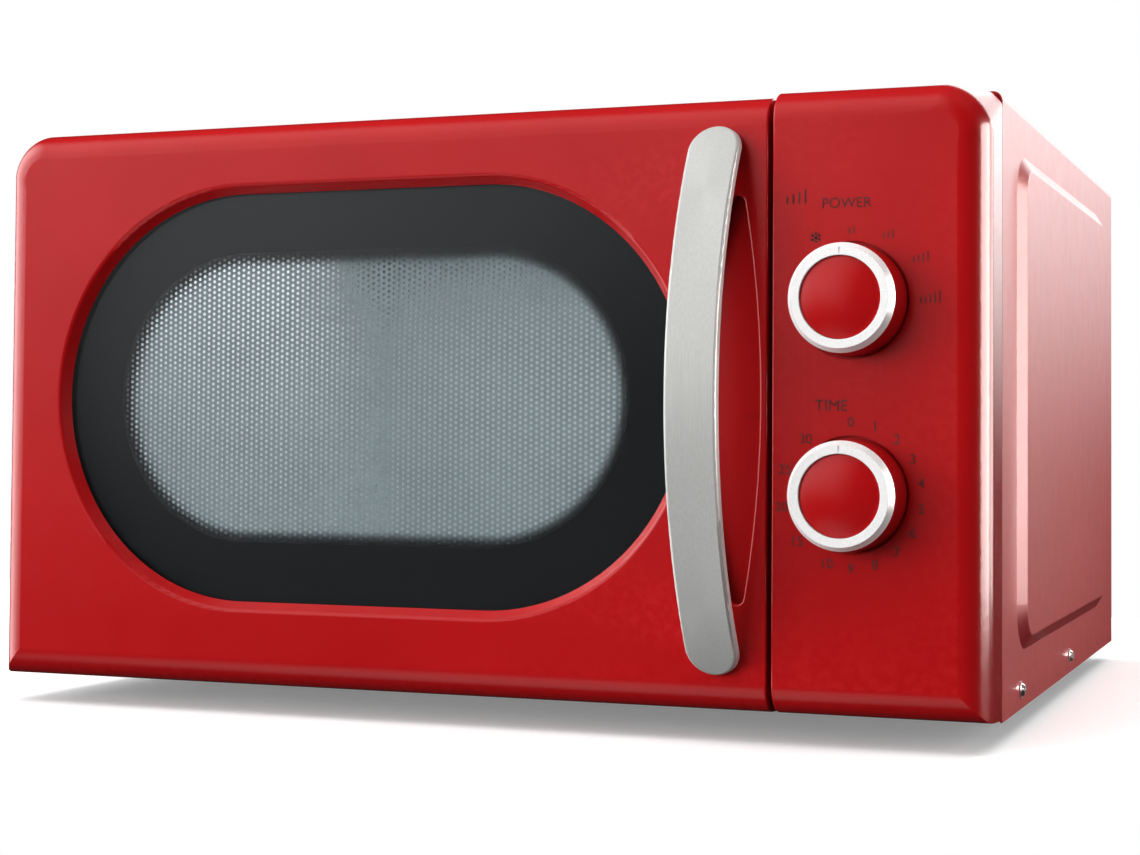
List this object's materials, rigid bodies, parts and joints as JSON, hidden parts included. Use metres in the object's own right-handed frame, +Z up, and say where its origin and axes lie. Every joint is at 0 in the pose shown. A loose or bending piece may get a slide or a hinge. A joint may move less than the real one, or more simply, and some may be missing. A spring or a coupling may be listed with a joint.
{
  "type": "countertop microwave oven",
  "caption": "Countertop microwave oven with a side-hinged door, stadium window, bowed bar handle, two dials and a glass turntable.",
  "frame": {"origin": "on the worktop, below the middle of the oven's overall box, handle and mains-lead bush included", "axes": "+X to the right as the user sees the front, +Y to the back, +Z up; the front faces -Y"},
  "size_m": [0.462, 0.411, 0.261],
  "materials": {
    "cover_paint": "gloss baked paint on steel sheet",
    "front_red": "high gloss moulded plastic",
    "zinc_sheet": "galvanised steel",
    "cavity_enamel": "satin baked paint",
    "screen_sheet": "satin black paint",
    "screw_steel": "bright plated steel",
    "brushed_handle": "brushed along its length",
    "bright_ring": "satin bright metal",
    "black_plastic": "fine grain",
    "grey_plastic": "fine grain",
    "white_plastic": "moulded, satin",
    "aluminium_fin": "pressed sheet",
    "core_varnish": "varnished steel laminations",
    "copper_wire": "enamelled wire",
    "circuit_board": "solder mask",
    "lamp_glass": "white base and clear bulb",
    "mica": "mica sheet",
    "window_glass": "tinted, gloss",
    "clear_film": "thin clear film",
    "tray_glass": "clear gloss"
  },
  "bodies": {
    "root": {"cabinet_wrap": "cover_paint", "base_plate": "zinc_sheet", "rear_panel": "zinc_sheet", "cord_gland": "black_plastic", "feet": "black_plastic", "cabinet_screws": "screw_steel", "oven_cavity": "cavity_enamel", "waveguide_cover": "mica", "waveguide": "zinc_sheet", "magnetron": "zinc_sheet", "cooling_fins": "aluminium_fin", "transformer_core": "core_varnish", "transformer_windings": "copper_wire", "capacitor": "aluminium_fin", "capacitor_clamp": "zinc_sheet", "high_voltage_diode": "black_plastic", "filter_board": "circuit_board", "fan_shroud": "grey_plastic", "fan_motor": "core_varnish", "air_guide": "grey_plastic", "cavity_lamp": "lamp_glass", "thermal_cutouts": "grey_plastic", "turntable_motor": "zinc_sheet", "timer_unit": "grey_plastic", "timer_bell": "zinc_sheet", "control_panel": "front_red", "upper_hinge": "zinc_sheet", "lower_hinge": "zinc_sheet", "interlock_bracket": "white_plastic", "door_switches": "white_plastic"},
    "door": {"door_frame": "front_red", "door_glass": "window_glass", "door_screen": "screen_sheet", "choke_frame": "screen_sheet", "choke_cover": "black_plastic", "inner_film": "clear_film", "handle": "brushed_handle", "handle_screws": "screw_steel", "latch_spring": "screw_steel"},
    "latch": {"latch_bar": "white_plastic"},
    "power_dial": {"power_knob_skirt": "front_red", "power_knob_ring": "bright_ring", "power_knob_cap": "front_red", "power_shaft": "white_plastic"},
    "timer_dial": {"timer_knob_skirt": "front_red", "timer_knob_ring": "bright_ring", "timer_knob_cap": "front_red", "timer_shaft": "white_plastic"},
    "upper_plunger": {"upper_switch_plunger": "white_plastic"},
    "lower_plunger": {"lower_switch_plunger": "white_plastic"},
    "monitor_plunger": {"monitor_switch_plunger": "white_plastic"},
    "turntable": {"turntable_spindle": "zinc_sheet", "turntable_coupler": "white_plastic", "glass_tray": "tray_glass"},
    "roller_carrier": {"roller_ring": "white_plastic"},
    "roller_a": {"roller_1": "white_plastic"},
    "roller_b": {"roller_2": "white_plastic"},
    "roller_c": {"roller_3": "white_plastic"},
    "fan": {"fan_rotor": "screw_steel", "fan_blade": "white_plastic"}
  },
  "joints": [
    {"name": "door_hinge", "type": "hinge", "parent": "root", "child": "door", "pos_m": [-0.2185, -0.1555, 0.026], "axis": [0, 0, -1], "range_deg": [0, 100]},
    {"name": "latch_lift", "type": "slide", "parent": "door", "child": "latch", "axis": [0, 0, 1], "range_m": [0, 0.004], "stiffness_N_per_m": 150, "springref_m": -0.004, "deforming": ["latch_spring"]},
    {"name": "power_turn", "type": "hinge", "parent": "root", "child": "power_dial", "pos_m": [0.1736, -0.1695, 0.1762], "axis": [0, 1, 0], "range_deg": [-30, 90]},
    {"name": "timer_turn", "type": "hinge", "parent": "root", "child": "timer_dial", "pos_m": [0.1736, -0.1695, 0.1], "axis": [0, 1, 0], "range_deg": [0, 320]},
    {"name": "upper_switch_press", "type": "slide", "parent": "root", "child": "upper_plunger", "axis": [0, 1, 0], "range_m": [0, 0.0012], "stiffness_N_per_m": 300, "springref_m": -0.002},
    {"name": "lower_switch_press", "type": "slide", "parent": "root", "child": "lower_plunger", "axis": [0, 1, 0], "range_m": [0, 0.0012], "stiffness_N_per_m": 300, "springref_m": -0.002},
    {"name": "monitor_switch_press", "type": "slide", "parent": "root", "child": "monitor_plunger", "axis": [0, 0, -1], "range_m": [0, 0.0012], "stiffness_N_per_m": 300, "springref_m": -0.002},
    {"name": "turntable_spin", "type": "hinge", "parent": "root", "child": "turntable", "pos_m": [-0.04425, 0.01, 0.038], "axis": [0, 0, 1], "continuous": true},
    {"name": "roller_carrier_spin", "type": "hinge", "parent": "root", "child": "roller_carrier", "pos_m": [-0.04425, 0.01, 0.038], "axis": [0, 0, 1], "continuous": true},
    {"name": "fan_spin", "type": "hinge", "parent": "root", "child": "fan", "pos_m": [0.172, 0.1785, 0.175], "axis": [0, 1, 0], "continuous": true},
    {"name": "roller_a_spin", "type": "hinge", "parent": "roller_carrier", "child": "roller_a", "pos_m": [-0.04425, 0.1065, 0.0453], "axis": [0, 1, 0], "continuous": true},
    {"name": "roller_b_spin", "type": "hinge", "parent": "roller_carrier", "child": "roller_b", "pos_m": [-0.12782, -0.03825, 0.0453], "axis": [-0.866, -0.5, 0], "continuous": true},
    {"name": "roller_c_spin", "type": "hinge", "parent": "roller_carrier", "child": "roller_c", "pos_m": [0.03932, -0.03825, 0.0453], "axis": [0.866, -0.5, 0], "continuous": true}
  ],
  "couplings": [
    {"joint": "roller_carrier_spin", "follows": "turntable_spin", "ratio": 0.5},
    {"joint": "roller_a_spin", "follows": "turntable_spin", "ratio": -6.8929},
    {"joint": "roller_b_spin", "follows": "turntable_spin", "ratio": -6.8929},
    {"joint": "roller_c_spin", "follows": "turntable_spin", "ratio": -6.8929}
  ]
}
